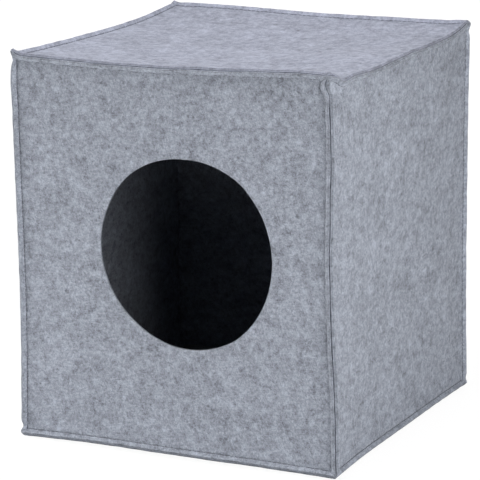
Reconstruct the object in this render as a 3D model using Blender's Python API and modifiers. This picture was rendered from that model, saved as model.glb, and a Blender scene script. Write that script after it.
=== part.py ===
"""Cat cave: a tall felt box with a round entrance, and a loose cushion on its floor.

Six felt panels are sewn along the twelve edges with their raw borders turned outwards, so every
edge is a fin of two layers and every corner a small three-sided tab. Metres, +Z up, front towards
-Y, origin in the middle of the underside.
"""

import bmesh
import bpy
from math import pi, radians, sin, sqrt
from mathutils import Euler, Matrix, Vector

# Overall size, from corner tab to corner tab
OVERALL_WIDTH = 0.330
OVERALL_DEPTH = 0.330
OVERALL_HEIGHT = 0.370

# Felt panels. The seam allowance runs from the sewn fold to the raw edge.
FELT_THICKNESS = 0.003
SEAM_ALLOWANCE = 0.006
PANEL_DIVISIONS = 12

# Clearance between neighbouring pieces
TOUCH_GAP = 0.0003

# Round entrance, cut through the front panel
ENTRANCE_DIAMETER = 0.177
ENTRANCE_OFFSET = 0.0143
ENTRANCE_CENTRE_HEIGHT = 0.194
ENTRANCE_SIDES = 72

# How far the felt gives way: the roof and its four seams hang, the upright seams are drawn in.
# A skew under 1 moves a seam's deepest point towards the front or the left, one over 1 away.
ROOF_SAG = 0.004
FRONT_SEAM_SAG = 0.0031
BACK_SEAM_SAG = 0.001
LEFT_SEAM_SAG = 0.005
RIGHT_SEAM_SAG = 0.0085
FRONT_SAG_SKEW = 0.8
BACK_SAG_SKEW = 1.4
LEFT_SAG_SKEW = 1.4
RIGHT_SAG_SKEW = 0.66
DRAW_IN_FRONT_LEFT = 0.0018
DRAW_IN_FRONT_RIGHT = 0.003
DRAW_IN_BACK_LEFT = 0.001
DRAW_IN_BACK_RIGHT = 0.0015
DRAW_IN_FRONT = 0.001
DRAW_IN_BACK = 0.0006

# Cushion: side lengths over the corners, height of its crown and of the seam round its edge
CUSHION_SIDE = 0.292
CUSHION_HEIGHT = 0.030
CUSHION_SEAM_HEIGHT = 0.012
CUSHION_DRAWN_IN = 0.008
CUSHION_FLAT_SHARE = 0.55
COVER_THICKNESS = 0.001
COVER_DIVISIONS = 16
FILLING_CLEARANCE = 0.0006

# A mitre splits each edge evenly, so a fin leans 45 degrees out from both of its panels.
FIN_RISE = SEAM_ALLOWANCE / sqrt(2)
# Where three fins meet, the felt's outer corner stands this far past the inner faces.
TAB_REACH = FIN_RISE + FELT_THICKNESS * 2 * sqrt(2) / 3
INNER_HALF = Vector(
    (
        OVERALL_WIDTH / 2 - TAB_REACH,
        OVERALL_DEPTH / 2 - TAB_REACH,
        OVERALL_HEIGHT / 2 - TAB_REACH,
    )
)
BOX_CENTRE = Vector((0, 0, OVERALL_HEIGHT / 2))
# The floor panel settles until its middle lies on the ground with the corner tabs.
FLOOR_DROP = TAB_REACH - FELT_THICKNESS
CUSHION_REST = FELT_THICKNESS + TOUCH_GAP

# Each side's turns about X and then Z, in degrees. They point local +Z out of the box.
SIDES = {
    "front": (90, 0),
    "back": (90, 180),
    "left": (90, -90),
    "right": (90, 90),
    "roof": (0, 0),
    "floor": (180, 0),
}


def clear_scene():
    for thing in list(bpy.data.objects):
        bpy.data.objects.remove(thing, do_unlink=True)


def new_collection(name):
    collection = bpy.data.collections.new(name)
    bpy.context.scene.collection.children.link(collection)
    return collection


def new_material(name, colour, roughness):
    material = bpy.data.materials.new(name)
    material.use_nodes = True
    shader = material.node_tree.nodes["Principled BSDF"]
    shader.inputs["Base Color"].default_value = (*colour, 1)
    shader.inputs["Roughness"].default_value = roughness
    shader.inputs["Metallic"].default_value = 0
    return material


def new_object(name, bm, collection, material=None, parent=None):
    mesh = bpy.data.meshes.new(name)
    bm.to_mesh(mesh)
    bm.free()
    mesh.shade_smooth()
    mesh.set_sharp_from_angle(angle=radians(30))
    thing = bpy.data.objects.new(name, mesh)
    if material:
        mesh.materials.append(material)
    thing.parent = parent
    collection.objects.link(thing)
    return thing


def new_empty(name, location, collection):
    empty = bpy.data.objects.new(name, None)
    empty.location = location
    collection.objects.link(empty)
    return empty


def thicken(thing, thickness, outwards):
    shell = thing.modifiers.new("Thickness", "SOLIDIFY")
    shell.thickness = thickness
    shell.offset = 1 if outwards else -1
    shell.use_even_offset = True
    shell.use_quality_normals = True


def cut(thing, cutter):
    hole = thing.modifiers.new("Cut", "BOOLEAN")
    hole.operation = "DIFFERENCE"
    hole.solver = "EXACT"
    hole.object = cutter


def arch(share):
    """0 at both ends of a span and 1 in its middle."""
    return sin(pi * share)


def ease(share):
    share = min(max(share, 0), 1)
    return share * share * (3 - 2 * share)


def mix(first, last, share):
    return first + (last - first) * share


def settled(point):
    """Where the soft felt lets a point of the plain box hang."""
    shares = [
        min(max(0.5 + (point[i] - BOX_CENTRE[i]) / (2 * INNER_HALF[i]), 0), 1)
        for i in range(3)
    ]
    across, along, up = shares
    sag = mix(
        FRONT_SEAM_SAG * arch(across**FRONT_SAG_SKEW),
        BACK_SEAM_SAG * arch(across**BACK_SAG_SKEW),
        along,
    )
    sag += mix(
        LEFT_SEAM_SAG * arch(along**LEFT_SAG_SKEW),
        RIGHT_SEAM_SAG * arch(along**RIGHT_SAG_SKEW),
        across,
    )
    sag += ROOF_SAG * arch(across) * arch(along)
    left = mix(DRAW_IN_FRONT_LEFT, DRAW_IN_BACK_LEFT, along)
    right = mix(DRAW_IN_FRONT_RIGHT, DRAW_IN_BACK_RIGHT, along)
    inwards = Vector(
        (mix(left, -right, across), mix(DRAW_IN_FRONT, -DRAW_IN_BACK, along), 0)
    )
    upper_half = 2 * up - 1
    return point + inwards * arch(up) - Vector((0, 0, sag * ease(upper_half)))


def side_frame(side):
    """The matrix from a side's flat cut to the box, and the cut's two half lengths."""
    about_x, about_z = SIDES[side]
    turn = Euler((radians(about_x), 0, radians(about_z))).to_matrix()
    normal = turn @ Vector((0, 0, 1))
    reach = [abs(value) * half for value, half in zip(normal, INNER_HALF)]
    centre = BOX_CENTRE + normal * sum(reach)
    halves = []
    for axis in (Vector((1, 0, 0)), Vector((0, 1, 0))):
        along = turn @ axis
        halves.append(sum(abs(a) * half for a, half in zip(along, INNER_HALF)))
    return Matrix.Translation(centre) @ turn.to_4x4(), halves


def floor_dish(share_x, share_y):
    """How far the floor has settled: 0 at its seams and 1 over its flat middle."""
    from_seam = 1 - max(abs(share_x), abs(share_y))
    return ease(from_seam * PANEL_DIVISIONS / 2)


def flat_cut(side, halves, divisions, level):
    """A side's cut as an open grid, level above the inner face, with the floor's dish in it."""
    bm = bmesh.new()
    bmesh.ops.create_grid(bm, x_segments=divisions, y_segments=divisions, size=1)
    for vert in bm.verts:
        drop = FLOOR_DROP * floor_dish(vert.co.x, vert.co.y) if side == "floor" else 0
        vert.co = Vector((vert.co.x * halves[0], vert.co.y * halves[1], level + drop))
    return bm


def flare_border(bm, halves):
    """Turns a border of the seam allowance out along the mitres, corner tabs with it."""
    border = [edge for edge in bm.edges if edge.is_boundary]
    made = bmesh.ops.extrude_edge_only(bm, edges=border)
    for vert in made["geom"]:
        if isinstance(vert, bmesh.types.BMVert):
            vert.co.x *= (halves[0] + FIN_RISE) / halves[0]
            vert.co.y *= (halves[1] + FIN_RISE) / halves[1]
            vert.co.z += FIN_RISE


def settle_mesh(bm, matrix):
    back = matrix.inverted()
    for vert in bm.verts:
        vert.co = back @ settled(matrix @ vert.co)


def make_panel(side, collection, material, parent):
    matrix, halves = side_frame(side)
    halves = [half - TOUCH_GAP / sqrt(2) for half in halves]
    bm = flat_cut(side, halves, PANEL_DIVISIONS, 0)
    flare_border(bm, halves)
    settle_mesh(bm, matrix)
    panel = new_object(side + "_panel", bm, collection, material, parent)
    panel.matrix_world = matrix
    thicken(panel, FELT_THICKNESS, outwards=True)
    return panel


def entrance_cutter(collection):
    bm = bmesh.new()
    bmesh.ops.create_cone(
        bm,
        cap_ends=True,
        segments=ENTRANCE_SIDES,
        radius1=ENTRANCE_DIAMETER / 2,
        radius2=ENTRANCE_DIAMETER / 2,
        depth=OVERALL_DEPTH / 4,
    )
    cutter = new_object("entrance_cutter", bm, collection)
    cutter.rotation_euler = (radians(90), 0, 0)
    cutter.location = (ENTRANCE_OFFSET, -OVERALL_DEPTH / 2, ENTRANCE_CENTRE_HEIGHT)
    cutter.hide_render = True
    cutter.display_type = "WIRE"
    return cutter


def cushion_sheet(half_side, rise, flat_share=None):
    """A square sheet blown up by rise, its sides drawn in between the corners.

    With a flat share it is a blown-up sheet that lies flat past that share of its fullness.
    """
    bm = bmesh.new()
    bmesh.ops.create_grid(
        bm, x_segments=COVER_DIVISIONS, y_segments=COVER_DIVISIONS, size=1
    )
    drawn_in = CUSHION_DRAWN_IN / half_side
    for vert in bm.verts:
        u, v = (sin(pi / 2 * value) for value in vert.co.xy)
        fullness = sqrt(max(0, (1 - u * u) * (1 - v * v)))
        if flat_share:
            fullness = ease(fullness / flat_share)
        x = half_side * u * (1 - drawn_in * u * u * (1 - v * v))
        y = half_side * v * (1 - drawn_in * v * v * (1 - u * u))
        vert.co = Vector((x, y, rise * fullness))
    return bm


def make_cushion(collection, cover_material, filling_material, parent):
    seam = CUSHION_SEAM_HEIGHT
    half_gap = TOUCH_GAP / 2
    half_side = CUSHION_SIDE / 2 - COVER_THICKNESS
    upper_rise = CUSHION_HEIGHT - seam - half_gap - COVER_THICKNESS
    lower_rise = seam - half_gap - COVER_THICKNESS

    upper = cushion_sheet(half_side, upper_rise)
    top = new_object(
        "cushion_top_cover", upper, collection, cover_material, parent
    )
    top.location = (0, 0, seam + half_gap)
    thicken(top, COVER_THICKNESS, outwards=True)

    lower = cushion_sheet(half_side, -lower_rise, CUSHION_FLAT_SHARE)
    bmesh.ops.reverse_faces(lower, faces=lower.faces)
    bottom = new_object(
        "cushion_bottom_cover", lower, collection, cover_material, parent
    )
    bottom.location = (0, 0, seam - half_gap)
    thicken(bottom, COVER_THICKNESS, outwards=True)

    inner_half = half_side - FILLING_CLEARANCE * half_side / upper_rise
    filling = cushion_sheet(inner_half, upper_rise - FILLING_CLEARANCE)
    under = cushion_sheet(
        inner_half, -(lower_rise - FILLING_CLEARANCE), CUSHION_FLAT_SHARE
    )
    bmesh.ops.reverse_faces(under, faces=under.faces)
    under_mesh = bpy.data.meshes.new("filling_underside")
    under.to_mesh(under_mesh)
    under.free()
    filling.from_mesh(under_mesh)
    bpy.data.meshes.remove(under_mesh)
    bmesh.ops.remove_doubles(filling, verts=filling.verts, dist=1e-6)
    core = new_object(
        "cushion_filling", filling, collection, filling_material, parent
    )
    core.location = (0, 0, seam)


def main():
    clear_scene()
    parts = new_collection("cat_cave")
    cutters = new_collection("cutters")
    felt = new_material("felt_grey", (0.33, 0.35, 0.4), 0.95)
    cover = new_material("cushion_cover", (0.06, 0.062, 0.07), 0.9)
    filling = new_material("cushion_filling", (0.86, 0.86, 0.84), 0.95)

    cave = new_empty("cave", (0, 0, 0), parts)
    cushion = new_empty("cushion_lift", (0, 0, CUSHION_REST), parts)
    entrance = entrance_cutter(cutters)
    for side in SIDES:
        panel = make_panel(side, parts, felt, cave)
        if side == "front":
            cut(panel, entrance)
    make_cushion(parts, cover, filling, cushion)


main()
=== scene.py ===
"""Looks of the felt cat cave: sewn felt panels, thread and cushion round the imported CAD.

Every felt panel is a closed sheet whose border turns out along the seams. All pieces pass
through one field, settled(), which holds how the soft box has sagged, so neighbours stay closed.
Metres, +Z up, front towards -Y.
"""

from math import cos, pi, radians, sin, sqrt

import bpy
import numpy as np
from mathutils import Matrix, Vector


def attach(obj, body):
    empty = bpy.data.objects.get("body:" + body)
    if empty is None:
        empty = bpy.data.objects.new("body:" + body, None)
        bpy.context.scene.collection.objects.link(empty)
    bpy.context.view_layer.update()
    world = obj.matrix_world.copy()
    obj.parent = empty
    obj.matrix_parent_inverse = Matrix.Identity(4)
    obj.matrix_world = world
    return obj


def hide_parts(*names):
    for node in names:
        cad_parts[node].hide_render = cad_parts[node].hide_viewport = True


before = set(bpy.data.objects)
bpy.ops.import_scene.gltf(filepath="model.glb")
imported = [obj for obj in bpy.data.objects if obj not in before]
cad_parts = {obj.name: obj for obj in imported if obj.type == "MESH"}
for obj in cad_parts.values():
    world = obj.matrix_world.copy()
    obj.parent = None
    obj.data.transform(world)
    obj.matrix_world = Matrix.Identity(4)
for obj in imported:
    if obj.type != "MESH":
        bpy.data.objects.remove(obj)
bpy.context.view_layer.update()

MM = 0.001
R2 = sqrt(0.5)

# Driving sizes, repeated from the CAD source
OVERALL = np.array((0.330, 0.330, 0.370))
FELT_THICKNESS = 0.003
SEAM_ALLOWANCE = 0.006
TOUCH_GAP = 0.0003
CUSHION_SIDE = 0.292
CUSHION_HEIGHT = 0.030
CUSHION_SEAM_HEIGHT = 0.012

FIN_RISE = SEAM_ALLOWANCE * R2
TAB_REACH = FIN_RISE + FELT_THICKNESS * 2 * sqrt(2) / 3
HALF = OVERALL / 2 - TAB_REACH
CENTRE = np.array((0, 0, OVERALL[2] / 2))
CUSHION_REST = FELT_THICKNESS + TOUCH_GAP
# How far the floor sinks until it lies on the ground, and the share of its half width it needs
FLOOR_DROP = TAB_REACH - FELT_THICKNESS
FLOOR_RAMP = 1 / 6

# Each side's two cloth directions and its outward normal
SIDES = {
    "front": ((1, 0, 0), (0, 0, 1), (0, -1, 0)),
    "back": ((-1, 0, 0), (0, 0, 1), (0, 1, 0)),
    "left": ((0, -1, 0), (0, 0, 1), (-1, 0, 0)),
    "right": ((0, 1, 0), (0, 0, 1), (1, 0, 0)),
    "roof": ((1, 0, 0), (0, 1, 0), (0, 0, 1)),
    "floor": ((1, 0, 0), (0, -1, 0), (0, 0, -1)),
}

# Entrance in the finished front: centre, half width and half height, and how the hand-cut edge
# strays from that round, as degrees (from the right, upwards) and millimetres outwards
ENTRANCE_CENTRE = (0.01439, 0.19392)
ENTRANCE_HALF = (0.08781, 0.08886)
ENTRANCE_STRAYS = (
    (-130, -0.8),
    (-100, 0.1),
    (-72, 0.8),
    (-58, 1.3),
    (-38, 0.2),
    (-15, -0.8),
    (20, 0.2),
    (50, 1.1),
    (90, -1.1),
    (133, 0.8),
    (155, 0.2),
    (180, 0.8),
    (205, 0.1),
)
# How far from the entrance's middle the front's grid lines bend round it, and how fast they
# straighten out
ENTRANCE_REACH = 0.118
ENTRANCE_EASING = 1.6
# How far the outer and the inner face are worn round at the entrance's cut, and the share of it
# on the cut itself and on the next two grid rings
OUTER_WEAR = 0.45 * MM
INNER_WEAR = 0.3 * MM
WEAR_SHARES = (1, 0.25, 0)

# How far the box's corners have moved, in millimetres, by (right, back, top). A least-squares fit
# to the photograph's outlines and seam lines gave these shifts, the seams' bows below (all but
# front_bottom's one half wave), the camera, and the entrance's centre and half sizes.
CORNER_SHIFTS = {
    (0, 0, 0): (0.24, 0.04, 0),
    (0, 0, 1): (0.85, 0.37, -0.61),
    (0, 1, 0): (0, 0, 0),
    (0, 1, 1): (0.95, 0.72, 1.38),
    (1, 0, 0): (1.54, -0.01, 0),
    (1, 0, 1): (-2.27, -0.8, 0.95),
    (1, 1, 0): (-1.01, -0.09, 0),
    (1, 1, 1): (-0.29, -0.24, -0.73),
}

# How each seam bows, in millimetres: the axis it runs along, which end of the other two axes it
# lies at, and for one, two and three half waves the push along those two axes
SEAM_BOWS = {
    "front_top": (0, (0, 1), ((0.12, -2.95), (-0.17, -0.71), (-0.06, 0.36))),
    "front_bottom": (0, (0, 0), ((1.2, 1.95), (0.59, 0.11), (0.72, 0.12))),
    "back_top": (0, (1, 1), ((-0.1, -0.58), (-0.01, 0.32), (0.03, 0.51))),
    "left_top": (1, (0, 1), ((1.01, -4.97), (-0.25, 0.83), (0.17, -0.32))),
    "right_top": (1, (1, 1), ((1.59, -8.8), (-0.66, -1.64), (0.32, -1.95))),
    "right_bottom": (1, (1, 0), ((-3.01, 0.22), (-0.45, 0.02), (-0.47, 0.03))),
    "front_left": (2, (0, 0), ((1.72, 1.02), (0.5, 0.35), (-0.04, -0.03))),
    "front_right": (2, (1, 0), ((-1.87, -0.97), (-0.08, -0.03), (0.75, 0.34))),
    "back_right": (2, (1, 1), ((-1.52, -0.59), (-0.14, -0.06), (-0.17, -0.07))),
}
ROOF_SAG = 4.0

# How far the walls flare out over the bottom fins, in millimetres, and how soon that fades
FLARES = {"front": 2.6, "right": 0.6, "left": 0.5, "back": 0.5}
FLARE_HEIGHT = 14 * MM
FLARE_DEPTH = 10 * MM

# Local pulls near the corners: the corner by (right, back, top), the way from it to the middle of
# the pull, the push and the reach, all three in millimetres
LOCAL_PULLS = (
    # Top front right: the tab lies to the right, and the upright fin bends in under it.
    ((1, 0, 1), (0, 0, 0), (-2.0, 0, 0.5), 7),
    ((1, 0, 1), (4, -4, 4), (-1.2, 0, -0.4), 3.5),
    ((1, 0, 1), (-1, 0, -7), (-4.1, 0, -1.5), 5),
    ((1, 0, 1), (0, 11, -8), (-2.6, 0, 0), 6),
    ((1, 0, 1), (4, -4, -4), (-1.6, 0, 0), 4),
    ((1, 0, 1), (0, 0, -24), (-1.2, 0, 0), 7),
    ((1, 0, 1), (-25, 0, 0), (0, 0, 1.3), 12),
    ((1, 0, 1), (0, 27, 0), (0, 0, -5.6), 10),
    ((1, 0, 1), (0, 21, -7), (-1.5, 0, 0), 5),
    ((1, 0, 1), (-1, -1, 1.5), (2.2, 0, -1.0), 2.8),
    # Top front left: a small tab, a notch below it and the upright fin standing out again
    ((0, 0, 1), (-3.5, -4, 6), (-0.6, 0, 4.0), 3.6),
    ((0, 0, 1), (-5, -4, 4), (-0.8, 0, 0), 2.6),
    ((0, 0, 1), (-5.5, -3.5, -0.3), (3.4, 0, 0), 2.6),
    ((0, 0, 1), (-6, -3, -5.5), (1.0, 0, 0), 3.2),
    ((0, 0, 1), (-3, -3, -26), (-0.7, 0, 0), 8),
    # The far top corners
    ((1, 1, 1), (0, 0, 0), (0.5, 0, 2.0), 9),
    ((1, 1, 1), (5.5, 3.5, -4), (-2.0, 0, 0), 2.4),
    ((1, 1, 1), (5, 4, 5), (0.6, 0, 0.8), 2.6),
    ((0, 1, 1), (-4, 4, 5), (-0.5, 0.5, 2.4), 3.2),
    ((0, 1, 1), (4, 4, 4), (0, 0, -0.8), 2.5),
    ((0, 1, 1), (-4, -6, 4), (0, 0, -0.8), 2.5),
    # The bottom front left and the bottom far right corner
    ((0, 0, 0), (-5, -4, -2), (-1.2, 0, 0), 3),
    ((0, 0, 0), (-5.5, -3.5, 3), (3.4, 0, 0), 2.4),
    ((1, 1, 0), (5.5, 3.5, 2.5), (-1.6, 0, 0), 2.2),
    ((1, 1, 0), (5, 4, -2), (0.8, 0, 0), 2.2),
    # A crease in the right side that runs into its lower far corner
    ((1, 1, 0), (0, -4, 3), (-1.0, 0, 0), 2.4),
    ((1, 1, 0), (0, -8, 5.8), (-1.0, 0, 0), 2.4),
    ((1, 1, 0), (0, -12, 8.5), (-0.8, 0, 0), 2.4),
    ((1, 1, 0), (0, -16, 11.3), (-0.5, 0, 0), 2.4),
)

# Soft unevenness of the sides: height in millimetres, wavelength and what is added to the seed
RELIEF_WAVES = ((0.55, 0.13, 0), (0.16, 0.045, 20))
RELIEF_SEED = 40
# Width of the strip along the seams in which it fades, and how near to a side's plane it works
RELIEF_FADE = 0.045
RELIEF_DEPTH = 0.02

# Along a seam's cross-section: the way from the crease (millimetres, positive on the fin), the
# felt's thickness (millimetres), and how far its outer face leans over (degrees)
SEAM_SECTION = np.array(
    (
        (-8, 3.0, 0),
        (-1.7, 3.05, 0),
        (-0.6, 2.95, 2),
        (0.0, 2.6, 7),
        (0.4, 2.05, 14),
        (0.75, 1.6, 22.5),
        (1.1, 2.05, 31),
        (1.5, 2.6, 38),
        (2.1, 2.95, 43),
        (3.5, 3.0, 45),
        (5.6, 3.0, 45),
        (6, 2.6, 45),
    )
)
# Where the stitches draw in a groove, how much its depth varies and over which wavelength
GROOVE_PAST = 0.75 * MM
PINCH = 0.22
PINCH_LENGTH = 0.011
# How deep the groove is along some seams, as a share of the usual one
GROOVE_DEPTHS = {("left", "roof"): 0.4, ("back", "roof"): 0.55}

# How far the two layers of a fin stand apart at their raw edges, how much that varies, and how
# far the edges are rounded. Where the mean is negative, the layers mostly stay pressed together.
SEAM_OPENINGS = {
    ("front", "right"): (0.06 * MM, 0.12 * MM, 0.30 * MM),
    ("front", "roof"): (0.0 * MM, 0.12 * MM, 0.26 * MM),
    ("right", "roof"): (-0.06 * MM, 0.10 * MM, 0.12 * MM),
}
USUAL_OPENING = (-0.05 * MM, 0.12 * MM, 0.26 * MM)
OPENING_LENGTH = 0.03
# The share by which the touching layers close up towards the raw edge, how late the opening
# grows, and the share of the fin's width at which the rounding starts
GAP_CLOSING = 0.6
OPENING_POWER = 1.6
ROUNDING_START = 0.85
# The rounding fades out in the corner tabs: how far past the panel's corner, and over which way
TAB_PAST = 1 * MM
TAB_FADE = 3 * MM
# Where a fin gapes or closes near a corner: the seam, the way from its middle, how far, the reach
GAPES = (
    (("right", "roof"), -0.152, 1.0 * MM, 0.011),
    (("right", "roof"), -0.115, -0.2 * MM, 0.02),
    (("front", "right"), 0.180, -0.3 * MM, 0.006),
)
# How far both layers of a fin lean this way and that together: size, wavelength, the fade towards
# the corners, and where on the fin it starts
FIN_WAVE = 0.2 * MM
FIN_WAVE_LENGTH = 0.06
FIN_WAVE_FADE = 0.02
FIN_WAVE_START = 1 * MM
# How uneven the raw edges are cut
EDGE_JAG = 0.06 * MM
EDGE_JAG_LENGTH = 0.02
# How far the raw edges bulge out, and the angle past which an edge is shaded sharp
EDGE_BULGE = 0.12 * MM
SHARP_ANGLE = 55

# Grid lines of a panel: those of its borders by their way past the crease, and the step between
# those of its middle
BORDER = (-6.5, -5, -3.8, -2.8, -1.9, -1.2, -0.5, 0, 0.3, 0.55, 0.75, 0.95)
BORDER = np.array(BORDER + (1.25, 1.7, 2.3, 3.0, 3.8, 4.5, 5.2, 5.7, 6)) * MM
INTERIOR_MARGIN = 8 * MM
PANEL_STEP = 3 * MM
# How softly and how fully two borders blend at a corner, and over which rise of one the other's
# dip fades
CORNER_BLEND = 0.4 * MM
CORNER_FULLNESS = 0.35
DIP_FADE = 1.5 * MM
# Places in the cloth map: between the sides, and from an outer face to its inner face
MAP_STEP = 1.1
MAP_INNER = 1.3

# Stitches of the seams: they lie in the visible crease, between the face and the fin
STITCH_PITCH = 4.7 * MM
STITCH_SHARE = 0.76
STITCH_LEVEL = 3.15 * MM
STITCH_INSIDE = 0.95 * MM
STITCH_MARGIN = 2.5 * MM
STITCH_SLIP = 0.12 * MM
STITCH_STRETCH = 0.06
THREAD_RADIUS = 0.23 * MM
THREAD_SIDES = 6
# Along one stitch: the share of its length, how far it stands up, and its thickness
STITCH_STEPS = np.array((0, 0.12, 0.3, 0.5, 0.7, 0.88, 1))
STITCH_LIFTS = np.array((-0.6, -0.1, 0.07, 0.1, 0.07, -0.1, -0.6)) * MM
STITCH_SIZES = np.array((0.35, 0.85, 1, 1, 1, 0.85, 0.35))

FELT_COLOUR = (0.305, 0.328, 0.381)
ROOF_COLOUR = (0.298, 0.314, 0.384)
COVER_COLOUR = (0.05, 0.052, 0.06)
THREAD_COLOUR = (0.13, 0.135, 0.15)
# The felt's darkest and lightest fibres as shares of its colour, and the share by which painted
# shade darkens a cut edge
FELT_SHARES = (0.42, 1.58)
CUT_EDGE_PAINTED_SHADE = 0.34
# Patches in the felt, as feature size and weight, and fibres, as turn in degrees, length and
# width in millimetres
FELT_PATCHES = ((4 * MM, 0.45), (7 * MM, 0.82), (15 * MM, 0.56), (45 * MM, 0.35))
FELT_FIBRES = ((12, 9, 0.9), (64, 7, 0.8), (107, 8, 1.0), (151, 6, 0.8))
FLECK_SIZE = 2.2 * MM
FLECK_WEIGHT = 1.15
FIBRE_WEIGHT = 0.7
FELT_BUMP = 0.35 * MM
FELT_SHEEN = 0.08
# How strongly the fine fibres show: on the walls, and on the smoother roof
WALL_FINE = 0.88
ROOF_FINE = 0.5

# Cushion cover and thread: the darkest and lightest pile as shares of the colour, how much
# larger the broad patches are than the pile, how strongly they show, and the relief's depth
PILE_SHARES = (0.55, 1.5)
BROAD_SIZE = 14
BROAD_WEIGHT = 0.5
PILE_BUMP = 0.3 * MM
# The pile's size and the sheen of each
COVER_PILE = (1.6 * MM, 0.25)
THREAD_PILE = (0.5 * MM, 0.1)

# The cushion's cloth before it is filled: squares along a side, side length, how far each half
# stands off the middle and how crumpled it is, and the crumples' wavelength
CUSHION_CELLS = 56
CUSHION_FLAT = 0.300
UPPER_START = (5 * MM, 0.6 * MM)
LOWER_START = (-4 * MM, -0.4 * MM)
CRUMPLE_LENGTH = 0.05
CRUMPLE_SEED = 7
# The cloth simulation in which pressure swells it
PLUMP_FRAMES = 24
PLUMP_SETTINGS = {
    "use_pressure": True,
    "uniform_pressure_force": 3.0,
    "quality": 6,
    "mass": 0.15,
    "tension_stiffness": 12,
    "compression_stiffness": 6,
    "shear_stiffness": 4,
    "bending_stiffness": 0.4,
}
# How far the finished pad stays inside the CAD cushion's side and top, how full its underside is
# before the floor flattens it, how far the flattened underside stays up, and how softly it bends
CUSHION_INSET = 4 * MM
CUSHION_TOP_INSET = 1 * MM
UNDERSIDE_FULLNESS = 1.6
UNDERSIDE_INSET = 0.6 * MM
UNDERSIDE_BEND = 2.5 * MM

# Camera, from the same fit: where it stands, which way it looks, and its focal length
CAMERA_PLACE = (1.10285606, -2.26364914, 0.77340985)
CAMERA_YAW = 26.16030
CAMERA_PITCH = 13.45090
CAMERA_ROLL = -0.71141
CAMERA_LENS = 202.206

# Lamps: name, azimuth, elevation, distance, side length, power
LAMPS = (
    ("right_lamp", 59, 15, 1.3, 0.85, 11.8),
    ("left_lamp", -65, 0, 0.85, 0.6, 5.9),
    ("top_lamp", -28, 79, 1.17, 0.8, 13.3),
    ("back_lamp", -165, 18, 1.8, 1.0, 9.0),
)
LAMP_TARGET = (0, 0, 0.18)
WORLD_LIGHT = 0.02

# The floor's colour, and what the camera sees of its own glow: the strength, the shares of it
# near the part and far away, and the distances between which it changes
FLOOR_COLOUR = (0.95, 0.95, 0.95)
FLOOR_GLOW = 1.05
FLOOR_GLOW_SHARES = (0.9, 1.0)
FLOOR_GLOW_SPAN = (0.5, 1.6)
FLOOR_SIZE = 12
FLOOR_LEVEL = -0.4 * MM


def ease(share):
    share = np.clip(share, 0, 1)
    return share * share * (3 - 2 * share)


def ripple(seed, places, wavelength, waves=16):
    """Smooth random relief of about unit size over points given as rows."""
    rng = np.random.default_rng(seed)
    places = np.asarray(places, float)
    if places.ndim == 1:
        places = places[:, None]
    turns = rng.normal(size=(places.shape[1], waves))
    turns *= 2 * pi / wavelength * rng.uniform(0.6, 1.4, waves) / np.linalg.norm(turns, axis=0)
    return np.cos(places @ turns + rng.uniform(0, 2 * pi, waves)).sum(1) * sqrt(2 / waves)


def link_object(name, mesh):
    thing = bpy.data.objects.new(name, mesh)
    bpy.context.scene.collection.objects.link(thing)
    return thing


def side_axes(side):
    return [np.array(axis, float) for axis in SIDES[side]]


def side_halves(side):
    return [float(abs(axis) @ HALF) for axis in side_axes(side)]


def side_number(side):
    return list(SIDES).index(side)


SEAMS = [
    (first, second)
    for i, first in enumerate(SIDES)
    for second in list(SIDES)[i + 1 :]
    if abs(side_axes(first)[2] @ side_axes(second)[2]) < 0.5
]


def seam_axes(first, second):
    """A seam's two outward normals and the direction it runs in."""
    normal_a, normal_b = side_axes(first)[2], side_axes(second)[2]
    return normal_a, normal_b, abs(np.cross(normal_a, normal_b))


def seam_seed(first, second):
    """The lowest of the seeds that belong to a seam."""
    return 100 + 7 * SEAMS.index((first, second))


def side_relief(side, across, along):
    """How far a side's felt stands out from flat, which fades towards its seams."""
    if side == "floor":
        return 0 * across
    half_a, half_b, _ = side_halves(side)
    from_seam = np.minimum(half_a - abs(across), half_b - abs(along))
    seed = RELIEF_SEED + side_number(side)
    places = np.stack([across, along], 1)
    relief = sum(
        height * ripple(seed + extra, places, wavelength)
        for height, wavelength, extra in RELIEF_WAVES
    )
    return relief * ease(from_seam / RELIEF_FADE) * MM


def fin_wave(points):
    """The fins lean this way and that along their length, both layers together."""
    shift = np.zeros_like(points)
    away = points - CENTRE
    for first, second in SEAMS:
        normal_a, normal_b, run = seam_axes(first, second)
        depth = (away @ normal_a + away @ normal_b - (abs(normal_a) + abs(normal_b)) @ HALF) * R2
        at = away @ run
        ends = ease((float(run @ HALF) - abs(at)) / FIN_WAVE_FADE)
        size = ease((depth - FIN_WAVE_START) / SEAM_ALLOWANCE) * ends
        wave = FIN_WAVE * ripple(seam_seed(first, second), at, FIN_WAVE_LENGTH)
        shift += ((normal_a - normal_b) * R2)[None] * (size * wave)[:, None]
    return shift


def seam_shift(away):
    """How the shifted corners, bowed seams and sagging roof move points, in millimetres."""
    shares = np.clip(0.5 + away / (2 * HALF), 0, 1)
    weights = np.stack([1 - shares, shares], 2)
    shift = np.zeros_like(away)
    for (i, j, k), move in CORNER_SHIFTS.items():
        weight = weights[:, 0, i] * weights[:, 1, j] * weights[:, 2, k]
        shift += weight[:, None] * np.array(move)
    for axis, ends, waves in SEAM_BOWS.values():
        others = [other for other in range(3) if other != axis]
        weight = weights[:, others[0], ends[0]] * weights[:, others[1], ends[1]]
        for count, move in enumerate(waves, 1):
            wave = weight * np.sin(count * pi * shares[:, axis])
            for other, size in zip(others, move):
                shift[:, other] += wave * size
    middle = np.sin(pi * shares[:, 0]) * np.sin(pi * shares[:, 1])
    shift[:, 2] -= ROOF_SAG * middle * ease(2 * shares[:, 2] - 1)
    return shift


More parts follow.
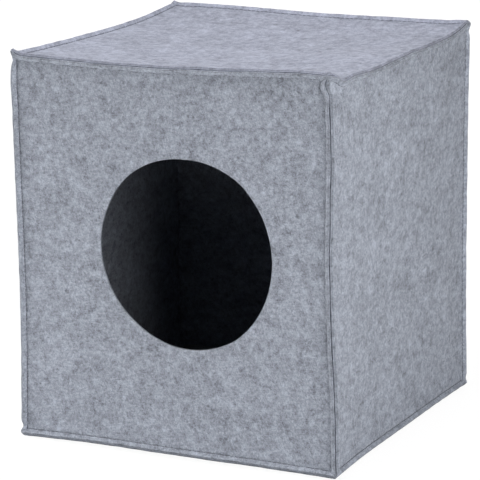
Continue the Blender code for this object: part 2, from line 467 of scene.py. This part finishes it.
def pull_shift(points):
    """How the local pulls near the corners move points, in millimetres."""
    shift = np.zeros_like(points)
    for corner, way, move, reach in LOCAL_PULLS:
        at = CENTRE + (np.array(corner) * 2 - 1) * HALF + np.array(way) * MM
        near = ((points - at) ** 2).sum(1) / (reach * MM) ** 2
        shift += np.exp(-near / 2)[:, None] * np.array(move)
    return shift


def flare_shift(away):
    """How the walls flare out just above the ground, in millimetres."""
    shift = np.zeros_like(away)
    height = np.maximum(away[:, 2] + HALF[2], 0)
    for side, flare in FLARES.items():
        axis, _, normal = side_axes(side)
        inside = np.maximum(abs(normal) @ HALF - away @ normal, 0)
        share = np.clip(0.5 + away @ axis / (2 * float(abs(axis) @ HALF)), 0, 1)
        size = flare * np.sin(pi * share)
        size = size * np.exp(-height / FLARE_HEIGHT - inside / FLARE_DEPTH)
        shift += size[:, None] * normal
    return shift


def settled(points):
    """Where the soft box lets points of the plain box lie."""
    away = points - CENTRE
    shift = seam_shift(away) + pull_shift(points) + flare_shift(away)
    moved = points + shift * MM + fin_wave(points)
    for side in SIDES:
        axis_a, axis_b, normal = side_axes(side)
        level = away @ normal - abs(normal) @ HALF
        near = abs(level) < RELIEF_DEPTH
        if near.any():
            relief = side_relief(side, away[near] @ axis_a, away[near] @ axis_b)
            moved[near] += relief[:, None] * normal
    return moved


def floor_drop(side, across, along):
    """The floor sinks between its seams until it lies on the ground."""
    if side != "floor":
        return 0 * across
    half_a, half_b, _ = side_halves(side)
    from_seam = 1 - np.maximum(abs(across) / half_a, abs(along) / half_b)
    return FLOOR_DROP * ease(from_seam / FLOOR_RAMP)


def box_points(side, across, along, level):
    """Points of the plain box from a side's own directions and the height over its inner face."""
    axis_a, axis_b, normal = side_axes(side)
    _, _, out = side_halves(side)
    level = level + floor_drop(side, across, along)
    return (
        CENTRE
        + across[..., None] * axis_a
        + along[..., None] * axis_b
        + (out + level)[..., None] * normal
    )


def axis_lines(half, step):
    """Grid lines over a side: where each lies when flat, and its way past the nearest crease."""
    inner = half - INTERIOR_MARGIN
    middle = np.linspace(-inner, inner, 2 * round(inner / step) + 1)
    flat = np.concatenate([-(half + BORDER[::-1]), middle, half + BORDER])
    return flat, abs(flat) - half


def entrance_edge(turns, level):
    """Points of the entrance's edge in the plain box that settle into the finished outline."""
    angles, strays = np.array(ENTRANCE_STRAYS).T
    stray = np.interp(np.degrees(turns), angles, strays, period=360) * MM
    wanted = np.stack(
        [
            ENTRANCE_CENTRE[0] + (ENTRANCE_HALF[0] + stray) * np.cos(turns),
            ENTRANCE_CENTRE[1] - CENTRE[2] + (ENTRANCE_HALF[1] + stray) * np.sin(turns),
        ],
        1,
    )
    found = wanted.copy()
    for _ in range(5):
        plain = box_points("front", found[:, 0], found[:, 1], np.full(len(found), level))
        moved = settled(plain) - plain
        found = wanted - moved[:, [0, 2]]
    return found


def round_opening(across, along):
    """Bends the front's grid lines round the entrance.

    Returns the new places, which squares are felt, and each point's count of rings from the cut.
    """
    count_a, count_b = across.shape
    mid_a = int(np.argmin(abs(across[:, 0] - ENTRANCE_CENTRE[0])))
    mid_b = int(np.argmin(abs(along[0] - (ENTRANCE_CENTRE[1] - CENTRE[2]))))
    step = across[mid_a + 1, 0] - across[mid_a, 0]
    outer = int(round(ENTRANCE_REACH / step))
    inner = int(round(pi * ENTRANCE_HALF[0] / 4 / step))
    i, j = np.meshgrid(np.arange(count_a) - mid_a, np.arange(count_b) - mid_b, indexing="ij")
    ring = np.maximum(abs(i), abs(j))
    bent = (ring >= inner) & (ring < outer)
    a, b, r = i[bent], j[bent], ring[bent]
    # Along each edge of a ring the angle grows evenly, so the quads round the entrance are even.
    slant = np.where(abs(a) >= abs(b), b / r, a / r) * pi / 4
    turns = np.where(abs(a) >= abs(b), np.where(a > 0, slant, pi - slant), pi / 2 - slant)
    turns = np.where((abs(a) < abs(b)) & (b < 0), slant - pi / 2, turns)
    edge = entrance_edge(turns, FELT_THICKNESS)
    far_a = np.interp(a * outer / r + mid_a, np.arange(count_a), across[:, 0])
    far_b = np.interp(b * outer / r + mid_b, np.arange(count_b), along[0])
    share = ((r - inner) / (outer - inner)) ** ENTRANCE_EASING
    across, along = across.copy(), along.copy()
    across[bent] = edge[:, 0] * (1 - share) + far_a * share
    along[bent] = edge[:, 1] * (1 - share) + far_b * share
    furthest = np.maximum(ring[:-1, :-1], ring[1:, 1:])
    furthest = np.maximum(furthest, np.maximum(ring[:-1, 1:], ring[1:, :-1]))
    return across, along, furthest > inner, ring - inner


def grid_quads(index):
    """The quads between the points of a grid, given by their numbers."""
    return np.stack([index[:-1, :-1], index[1:, :-1], index[1:, 1:], index[:-1, 1:]], 2)


def open_edges(quads, count):
    """Starts and ends of the edges that belong to one quad only."""
    starts = quads.ravel()
    ends = np.roll(quads, -1, axis=1).ravel()
    single = ~np.isin(starts * count + ends, ends * count + starts)
    return starts[single], ends[single]


def unit_rows(rows):
    return rows / np.linalg.norm(rows, axis=1)[:, None]


def map_outwards(flat, starts, ends, rim):
    """The way out of the flat cloth at each point of its rim."""
    lines = flat[ends] - flat[starts]
    out = unit_rows(np.stack([lines[:, 1], -lines[:, 0]], 1))
    total = np.zeros_like(flat)
    np.add.at(total, starts, out)
    np.add.at(total, ends, out)
    return unit_rows(total[rim])


def rim_outwards(face, quads, rim, thick):
    """The way out of the settled cloth at each point of its rim, square to its thickness."""
    total = np.zeros_like(face)
    for step in (-1, 1):
        np.add.at(total, quads, face[quads] - face[np.roll(quads, step, axis=1)])
    way, thick = total[rim], unit_rows(thick)
    return unit_rows(way - (way * thick).sum(1)[:, None] * thick)


def closed_sheet(name, outer, inner, flat, solid, material, shift):
    """A closed mesh from a sheet's two faces as grids of points, with rounded raw edges."""
    count = outer.shape[0] * outer.shape[1]
    quads = grid_quads(np.arange(count).reshape(outer.shape[:2]))[solid]
    outer, inner, flat = outer.reshape(-1, 3), inner.reshape(-1, 3), flat.reshape(-1, 2)
    starts, ends = open_edges(quads, count)
    rim = np.unique(starts)
    order = np.full(count, -1)
    order[rim] = np.arange(len(rim))
    top, bottom = outer[rim], inner[rim]
    thick = top - bottom
    bulge = rim_outwards(outer, quads, rim, thick) * EDGE_BULGE
    layers = [top * (1 - share) + bottom * share + bulge for share in (1 / 3, 2 / 3)]
    points = np.concatenate([outer, inner, *layers])
    # The point numbers of the four rings from the outer face over the cut to the inner face
    rings = [np.arange(count), 2 * count + order, 2 * count + len(rim) + order]
    rings.append(count + np.arange(count))
    faces = [quads, quads[:, ::-1] + count]
    maps = [flat[quads], (flat * (1, -1) + (MAP_INNER, 0))[quads[:, ::-1]]]
    out = map_outwards(flat, starts, ends, rim)
    depth = np.linalg.norm(thick, axis=1).mean() / 3
    for layer, (near, far) in enumerate(zip(rings, rings[1:])):
        faces.append(np.stack([near[ends], near[starts], far[starts], far[ends]], 1))
        corners = ((ends, layer), (starts, layer), (starts, layer + 1), (ends, layer + 1))
        maps.append(
            np.stack([flat[at] + out[order[at]] * depth * steps for at, steps in corners], 1)
        )
    kept, faces = np.unique(np.concatenate(faces), return_inverse=True)
    mesh = bpy.data.meshes.new(name)
    mesh.from_pydata(points[kept].tolist(), [], faces.reshape(-1, 4).tolist())
    # Marks the cut faces, which the felt's material darkens with painted shade.
    cut = mesh.attributes.new("cut_edge_painted_shade", "FLOAT", "POINT")
    cut.data.foreach_set("value", (kept >= 2 * count).astype(np.float32))
    cloth = mesh.uv_layers.new(name="cloth")
    maps = np.concatenate(maps) + np.array(shift)
    cloth.uv.foreach_set("vector", maps.reshape(-1).astype(np.float32))
    mesh.shade_smooth()
    mesh.set_sharp_from_angle(angle=radians(SHARP_ANGLE))
    mesh.materials.append(material)
    return link_object(name, mesh)


def edge_place(side, which, sign, across, along):
    """The seam that a side's edge belongs to, and how far along it the points lie."""
    axes = side_axes(side)
    out = axes[which] * sign
    other = next(name for name in SIDES if side_axes(name)[2] @ out > 0.5)
    pair = (side, other) if (side, other) in SEAMS else (other, side)
    run = seam_axes(*pair)[2]
    return pair, across * (axes[0] @ run) + along * (axes[1] @ run)


def border_terms(side, which, flat, past, across, along):
    """For one direction of a side's grid: how its two faces turn out past the creases.

    Returns the inner and outer places along that direction, then the inner and outer levels.
    """
    sign = np.where(flat < 0, -1.0, 1.0)
    opening, rounded, jag, pinch = (np.zeros(flat.shape) for _ in range(4))
    depth = np.ones(flat.shape)
    for value in (-1, 1):
        mask = (sign == value) & (past > -INTERIOR_MARGIN)
        pair, at = edge_place(side, which, value, across[mask], along[mask])
        seed = seam_seed(*pair)
        own = seed + (3 if pair[0] == side else 4)
        mean, spread, rounding = SEAM_OPENINGS.get(pair, USUAL_OPENING)
        run_half = float(seam_axes(*pair)[2] @ HALF)
        rounded[mask] = rounding * ease((run_half + TAB_PAST - abs(at)) / TAB_FADE)
        opening[mask] = mean + spread * ripple(seed + 2, at, OPENING_LENGTH)
        for seam, middle, wide, reach in GAPES:
            if seam == pair:
                opening[mask] += wide * np.exp(-(((at - middle) / reach) ** 2))
        jag[mask] = EDGE_JAG * ripple(own + 40, at, EDGE_JAG_LENGTH)
        depth[mask] = GROOVE_DEPTHS.get(pair, 1)
        pinch[mask] = PINCH * ripple(seed + 5, at, PINCH_LENGTH)
    fin = np.maximum(past, 0) / SEAM_ALLOWANCE
    reach = past + jag * fin**2
    gap = TOUCH_GAP / 2 * (1 - GAP_CLOSING * fin)
    gap = gap + np.maximum(opening, 0) * fin**OPENING_POWER
    gap = gap + rounded * ease((fin - ROUNDING_START) / (1 - ROUNDING_START))
    past_mm, thick, lean = SEAM_SECTION.T
    thick = np.interp(past / MM, past_mm, thick) * MM
    lean = np.radians(np.interp(past / MM, past_mm, lean))
    thick = FELT_THICKNESS + (thick - FELT_THICKNESS) * depth
    thick = thick * (1 + pinch * np.exp(-(((past - GROOVE_PAST) / MM) ** 2)))
    out = np.where(past > 0, reach * R2 - gap * R2, past)
    level_in = np.where(past > 0, reach * R2 + gap * R2, 0)
    half = abs(flat) - past
    place_in = sign * (half + out)
    place_out = sign * (half + out - thick * np.sin(lean))
    return place_in, place_out, level_in, level_in + thick * np.cos(lean)


def soft_max(first, second, width):
    """The larger of two rises, a little more where both are about as large."""
    high, low = np.maximum(first, second), np.minimum(first, second)
    extra = width * np.exp(-np.clip((high - low) / width, 0, 50)) * CORNER_FULLNESS
    return high + extra * (low > 0)


def make_panel(side, material):
    half_a, half_b = (half - TOUCH_GAP * R2 for half in side_halves(side)[:2])
    flat_a, past_a = axis_lines(half_a, PANEL_STEP)
    flat_b, past_b = axis_lines(half_b, PANEL_STEP)
    flat_across, flat_along = np.meshgrid(flat_a, flat_b, indexing="ij")
    past_across, past_along = np.meshgrid(past_a, past_b, indexing="ij")
    across, along = flat_across, flat_along
    solid = np.ones((len(flat_a) - 1, len(flat_b) - 1), bool)
    wear = np.zeros(across.shape)
    if side == "front":
        across, along, solid, from_cut = round_opening(across, along)
        wear = np.interp(from_cut, (0, 1, 2), WEAR_SHARES)
    in_a, out_a, in_level_a, out_level_a = border_terms(
        side, 0, flat_across, past_across, flat_across, flat_along
    )
    in_b, out_b, in_level_b, out_level_b = border_terms(
        side, 1, flat_along, past_along, flat_across, flat_along
    )
    in_a, out_a = (value - flat_across + across for value in (in_a, out_a))
    in_b, out_b = (value - flat_along + along for value in (in_b, out_b))
    inner_level = soft_max(in_level_a, in_level_b, CORNER_BLEND)
    over_a, over_b = (level - FELT_THICKNESS for level in (out_level_a, out_level_b))
    rise_a, rise_b = np.maximum(over_a, 0), np.maximum(over_b, 0)
    dip_a, dip_b = np.minimum(over_a, 0), np.minimum(over_b, 0)
    fade_a, fade_b = (1 - ease(rise / DIP_FADE) for rise in (rise_a, rise_b))
    outer_level = FELT_THICKNESS + soft_max(rise_a, rise_b, CORNER_BLEND)
    outer_level = outer_level + np.minimum(dip_a * fade_b, dip_b * fade_a)
    outer = box_points(side, out_a, out_b, outer_level - OUTER_WEAR * wear)
    inner = box_points(side, in_a, in_b, inner_level + INNER_WEAR * wear)
    shape = outer.shape
    outer, inner = (settled(grid.reshape(-1, 3)).reshape(shape) for grid in (outer, inner))
    flat = np.stack([across, along], 2)
    shift = (0, MAP_STEP * side_number(side))
    thing = closed_sheet(side + "_felt", outer, inner, flat, solid, material, shift)
    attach(thing, "cave")
    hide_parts(side + "_panel")
    return thing


def tube_faces(first, rings, sides):
    """Faces of a closed tube whose points are numbered ring by ring from the first."""
    index = first + np.arange(rings * sides).reshape(rings, sides)
    after = np.roll(index, -1, axis=1)
    walls = np.stack([index[:-1], after[:-1], after[1:], index[1:]], 2).reshape(-1, 4)
    return [*walls.tolist(), index[0, ::-1].tolist(), index[-1].tolist()]


def make_threads(first, second, material):
    """The thread that shows along both faces of a seam, as one mesh of short rounded stitches."""
    normal_a, normal_b, run = seam_axes(first, second)
    half = float(run @ HALF) - STITCH_MARGIN
    count = int(2 * half / STITCH_PITCH)
    rng = np.random.default_rng(seam_seed(first, second) + 6)
    angles = np.arange(THREAD_SIDES) * 2 * pi / THREAD_SIDES
    rings = len(STITCH_STEPS)
    points, faces = [], []
    for own, other in ((normal_a, normal_b), (normal_b, normal_a)):
        base = CENTRE + HALF * (normal_a + normal_b)
        base = base + own * STITCH_LEVEL - other * STITCH_INSIDE
        ring = THREAD_RADIUS * (np.outer(np.cos(angles), own) + np.outer(np.sin(angles), other))
        for number in range(count):
            start = -half + (number + 0.5 - STITCH_SHARE / 2) * STITCH_PITCH
            start += rng.normal() * STITCH_SLIP
            length = STITCH_PITCH * STITCH_SHARE * (1 + STITCH_STRETCH * rng.normal())
            centres = base + np.outer(start + STITCH_STEPS * length, run)
            centres = centres + np.outer(STITCH_LIFTS, own)
            faces += tube_faces(len(points) * rings * THREAD_SIDES, rings, THREAD_SIDES)
            points.append((centres[:, None] + STITCH_SIZES[:, None, None] * ring).reshape(-1, 3))
    name = f"thread_{first}_{second}"
    mesh = bpy.data.meshes.new(name)
    mesh.from_pydata(settled(np.concatenate(points)).tolist(), [], faces)
    mesh.shade_smooth()
    mesh.materials.append(material)
    thing = link_object(name, mesh)
    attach(thing, "cave")


class Nodes:
    """Short calls for building one material's nodes."""

    def __init__(self, name):
        self.material = bpy.data.materials.new(name)
        self.material.use_nodes = True
        self.tree = self.material.node_tree
        self.shader = self.tree.nodes["Principled BSDF"]

    def link(self, source, target):
        self.tree.links.new(source, target)

    def node(self, kind, inputs=(), **settings):
        made = self.tree.nodes.new("ShaderNode" + kind)
        for key, value in settings.items():
            setattr(made, key, value)
        for key, value in dict(inputs).items():
            if isinstance(value, bpy.types.NodeSocket):
                self.link(value, made.inputs[key])
            else:
                made.inputs[key].default_value = value
        return made

    def math(self, operation, first, second=0.0, third=0.0):
        inputs = {0: first, 1: second, 2: third}
        return self.node("Math", inputs, operation=operation).outputs[0]

    def noise(self, place, size, detail=2.0, rough=0.5, warp=0.0):
        """Noise of about the given feature size in metres, from 0 to 1."""
        inputs = {
            "Vector": place,
            "Scale": 1 / size,
            "Detail": detail,
            "Roughness": rough,
            "Distortion": warp,
        }
        return self.node("TexNoise", inputs).outputs["Fac"]

    def stretch(self, place, degrees, long, short):
        """The place turned in the cloth's plane and drawn out along one direction."""
        inputs = {
            "Vector": place,
            "Rotation": (0, 0, radians(degrees)),
            "Scale": (long / short, 1, 1),
        }
        return self.node("Mapping", inputs, vector_type="TEXTURE").outputs[0]

    def ramp(self, value, *stops):
        made = self.node("ValToRGB", {0: value})
        ramp = made.color_ramp
        while len(ramp.elements) < len(stops):
            ramp.elements.new(0.5)
        for element, (at, colour) in zip(ramp.elements, stops):
            element.position = at
            element.color = (*colour, 1)
        return made.outputs[0]

    def span(self, value, low, high, first=0.0, last=1.0):
        """The value's way from low to high, as a smooth way from first to last."""
        inputs = {0: value, 1: low, 2: high, 3: first, 4: last}
        return self.node("MapRange", inputs, interpolation_type="SMOOTHSTEP").outputs[0]

    def finish(self, colour, roughness, height, depth, sheen):
        """Puts a matt surface with this colour, relief and sheen together."""
        self.link(colour, self.shader.inputs["Base Color"])
        self.link(roughness, self.shader.inputs["Roughness"])
        self.shader.inputs["Specular IOR Level"].default_value = 0.2
        self.shader.inputs["Sheen Weight"].default_value = sheen
        self.shader.inputs["Sheen Roughness"].default_value = 0.5
        bump = self.node("Bump", {"Height": height, "Strength": 1.0, "Distance": depth})
        self.link(bump.outputs[0], self.shader.inputs["Normal"])
        return self.material


def shades(colour, shares):
    return [tuple(value * share for value in colour) for share in shares]


def felt_material(name, fine, base):
    nodes = Nodes(name)
    place = nodes.node("UVMap", uv_map="cloth").outputs[0]
    flecks = nodes.noise(place, FLECK_SIZE, 3, 0.6, 0.8)
    fibres = None
    for turn, long, short in FELT_FIBRES:
        drawn = nodes.stretch(place, turn, long * MM, short * MM)
        fibre = nodes.noise(drawn, short * MM, 2, 0.5, 1.2)
        fibre = nodes.math("SUBTRACT", fibre, 0.5)
        fibres = fibre if fibres is None else nodes.math("ADD", fibres, fibre)
    tone = nodes.math("MULTIPLY_ADD", fibres, FIBRE_WEIGHT * fine, 0.5)
    spot = nodes.math("SUBTRACT", flecks, 0.5)
    tone = nodes.math("MULTIPLY_ADD", spot, FLECK_WEIGHT * fine, tone)
    for size, weight in FELT_PATCHES:
        patch = nodes.math("SUBTRACT", nodes.noise(place, size, 2, 0.55, 0.4), 0.5)
        tone = nodes.math("MULTIPLY_ADD", patch, weight, tone)
    dark, light = shades(base, FELT_SHARES)
    colour = nodes.ramp(tone, (0.0, dark), (0.5, base), (1.0, light))
    # Painted shade: the cut edges are darkened to stand in for the shade in the fins' gaps and on
    # the entrance's cut.
    cut = nodes.node("Attribute", attribute_name="cut_edge_painted_shade").outputs["Fac"]
    shade = nodes.math("MULTIPLY_ADD", cut, -CUT_EDGE_PAINTED_SHADE, 1.0)
    colour = nodes.node("VectorMath", {0: colour, 1: shade}, operation="MULTIPLY").outputs[0]
    height = nodes.math("ADD", nodes.math("MULTIPLY", fibres, 0.6), flecks)
    rough = nodes.span(flecks, 0.3, 0.7, 0.86, 1.0)
    return nodes.finish(colour, rough, height, FELT_BUMP * fine, FELT_SHEEN)


def cloth_material(name, colour, size, sheen):
    nodes = Nodes(name)
    place = nodes.node("TexCoord").outputs["Object"]
    pile = nodes.noise(place, size, 3, 0.6, 0.5)
    broad = nodes.noise(place, BROAD_SIZE * size, 2)
    broad = nodes.math("MULTIPLY_ADD", broad, BROAD_WEIGHT, -BROAD_WEIGHT / 2)
    tone = nodes.math("ADD", pile, broad)
    dark, light = shades(colour, PILE_SHARES)
    made = nodes.ramp(tone, (0.2, dark), (0.5, colour), (0.8, light))
    return nodes.finish(made, nodes.span(pile, 0.3, 0.7, 0.85, 1.0), pile, PILE_BUMP, sheen)


def cushion_start():
    """Two square sheets joined round their edge, a little apart in the middle."""
    line = np.linspace(-1, 1, CUSHION_CELLS + 1)
    u, v = np.meshgrid(line, line, indexing="ij")
    full = np.sqrt(np.clip((1 - u**4) * (1 - v**4), 0, 1))
    half = CUSHION_FLAT / 2
    index = np.arange(u.size).reshape(u.shape)
    rim = (abs(u) == 1) | (abs(v) == 1)
    under = np.where(rim, index, -1)
    under[~rim] = u.size + np.arange((~rim).sum())
    places = np.stack([u.ravel(), v.ravel()], 1) * half
    crumple = ripple(CRUMPLE_SEED, places, CRUMPLE_LENGTH).reshape(u.shape)
    top, low = (
        np.stack([u * half, v * half, (rise + uneven * crumple) * full], 2)
        for rise, uneven in (UPPER_START, LOWER_START)
    )
    faces = grid_quads(index).reshape(-1, 4).tolist()
    faces += grid_quads(under).reshape(-1, 4)[:, ::-1].tolist()
    return np.concatenate([top.reshape(-1, 3), low[~rim]]), faces


def plumped(thing, points):
    scene = bpy.context.scene
    cloth = thing.modifiers.new("Plump", "CLOTH")
    for name, value in PLUMP_SETTINGS.items():
        setattr(cloth.settings, name, value)
    cloth.settings.effector_weights.gravity = 0
    cloth.point_cache.frame_end = PLUMP_FRAMES
    for number in range(1, PLUMP_FRAMES + 1):
        scene.frame_set(number)
    seen = thing.evaluated_get(bpy.context.evaluated_depsgraph_get())
    swollen = np.zeros(len(points) * 3)
    seen.data.vertices.foreach_get("co", swollen)
    thing.modifiers.remove(cloth)
    scene.frame_set(1)
    return swollen.reshape(-1, 3)


def trimmed(points):
    """The swollen pad at its real side and height, with an underside that the floor flattens."""
    points = points.copy()
    points[:, :2] *= (CUSHION_SIDE - CUSHION_INSET) / np.ptp(points[:, :2], axis=0)
    rise, sink = points[:, 2].max(), -points[:, 2].min()
    upper = CUSHION_HEIGHT - CUSHION_SEAM_HEIGHT - CUSHION_TOP_INSET
    lower = CUSHION_SEAM_HEIGHT * UNDERSIDE_FULLNESS
    height = np.where(points[:, 2] > 0, points[:, 2] / rise * upper, points[:, 2] / sink * lower)
    floor = -CUSHION_SEAM_HEIGHT + UNDERSIDE_INSET
    soft = UNDERSIDE_BEND
    over = height - floor
    height = floor + np.where(over > 4 * soft, over, soft * np.log1p(np.exp(over / soft)))
    height -= soft * np.log(2) * np.exp(-np.maximum(over, 0) / soft)
    points[:, 2] = np.maximum(height, floor)
    return points


def make_cushion(material):
    points, faces = cushion_start()
    mesh = bpy.data.meshes.new("cushion_pad")
    mesh.from_pydata(points.tolist(), [], faces)
    thing = link_object("cushion_pad", mesh)
    mesh.vertices.foreach_set("co", trimmed(plumped(thing, points)).ravel())
    mesh.transform(Matrix.Translation((0, 0, CUSHION_REST + CUSHION_SEAM_HEIGHT)))
    mesh.update()
    smooth = thing.modifiers.new("Smooth", "SUBSURF")
    smooth.levels = smooth.render_levels = 1
    mesh.shade_smooth()
    mesh.materials.append(material)
    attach(thing, "cushion")
    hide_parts("cushion_top_cover", "cushion_bottom_cover", "cushion_filling")


def direction(azimuth, elevation):
    """A way from the part, in degrees. Azimuth 0 is in front of the entrance, 90 to its right."""
    a, e = radians(azimuth), radians(elevation)
    return Vector((sin(a) * cos(e), -cos(a) * cos(e), sin(e)))


def make_camera():
    data = bpy.data.cameras.new("camera")
    data.sensor_width = 36
    data.lens = CAMERA_LENS
    data.clip_start = 0.1
    data.clip_end = 100
    camera = link_object("camera", data)
    back = direction(CAMERA_YAW, CAMERA_PITCH)
    right = direction(CAMERA_YAW + 90, 0)
    up = back.cross(right)
    roll = radians(CAMERA_ROLL)
    turned = Matrix((right * cos(roll) + up * sin(roll), up * cos(roll) - right * sin(roll), back))
    camera.matrix_world = Matrix.Translation(CAMERA_PLACE) @ turned.transposed().to_4x4()
    bpy.context.scene.camera = camera


def make_lamp(name, azimuth, elevation, distance, size, power):
    """A square soft lamp that shines at the part's middle."""
    data = bpy.data.lights.new(name, "AREA")
    data.shape = "SQUARE"
    data.size = size
    data.energy = power
    lamp = link_object(name, data)
    back = direction(azimuth, elevation)
    lamp.location = Vector(LAMP_TARGET) + back * distance
    lamp.rotation_euler = back.to_track_quat("Z", "Y").to_euler()


def make_floor():
    bpy.ops.mesh.primitive_plane_add(size=FLOOR_SIZE, location=(0, 0, FLOOR_LEVEL))
    floor = bpy.context.object
    floor.name = "studio_floor"
    nodes = Nodes("studio_floor")
    nodes.shader.inputs["Base Color"].default_value = (*FLOOR_COLOUR, 1)
    nodes.shader.inputs["Roughness"].default_value = 0.9
    glow = nodes.node("Emission", {"Color": (1, 1, 1, 1), "Strength": FLOOR_GLOW})
    seen = nodes.node("LightPath")
    place = nodes.node("TexCoord").outputs["Object"]
    away = nodes.node("VectorMath", {0: place}, operation="LENGTH").outputs["Value"]
    share = nodes.span(away, *FLOOR_GLOW_SPAN, *FLOOR_GLOW_SHARES)
    share = nodes.math("MULTIPLY", seen.outputs["Is Camera Ray"], share)
    mix = nodes.node("MixShader", {0: share})
    nodes.link(nodes.shader.outputs[0], mix.inputs[1])
    nodes.link(glow.outputs[0], mix.inputs[2])
    nodes.link(mix.outputs[0], nodes.tree.nodes["Material Output"].inputs["Surface"])
    floor.data.materials.append(nodes.material)


def make_world():
    """White where the camera sees it, and otherwise only a faint light."""
    world = bpy.data.worlds.new("studio")
    bpy.context.scene.world = world
    world.use_nodes = True
    tree = world.node_tree
    background = tree.nodes["Background"]
    background.inputs["Color"].default_value = (1, 1, 1, 1)
    path = tree.nodes.new("ShaderNodeLightPath")
    strength = tree.nodes.new("ShaderNodeMapRange")
    strength.inputs["To Min"].default_value = WORLD_LIGHT
    strength.inputs["To Max"].default_value = 1.0
    tree.links.new(path.outputs["Is Camera Ray"], strength.inputs["Value"])
    tree.links.new(strength.outputs[0], background.inputs["Strength"])


def main():
    scene = bpy.context.scene
    scene.view_settings.view_transform = "Standard"
    felt = felt_material("needle_felt", WALL_FINE, FELT_COLOUR)
    smooth_felt = felt_material("needle_felt_roof", ROOF_FINE, ROOF_COLOUR)
    cover = cloth_material("cushion_plush", COVER_COLOUR, *COVER_PILE)
    thread = cloth_material("seam_thread", THREAD_COLOUR, *THREAD_PILE)
    panels = {side: make_panel(side, smooth_felt if side == "roof" else felt) for side in SIDES}
    for pair in SEAMS:
        make_threads(*pair, thread)
    make_cushion(cover)
    make_camera()
    for lamp in LAMPS:
        make_lamp(*lamp)
    make_floor()
    make_world()


main()
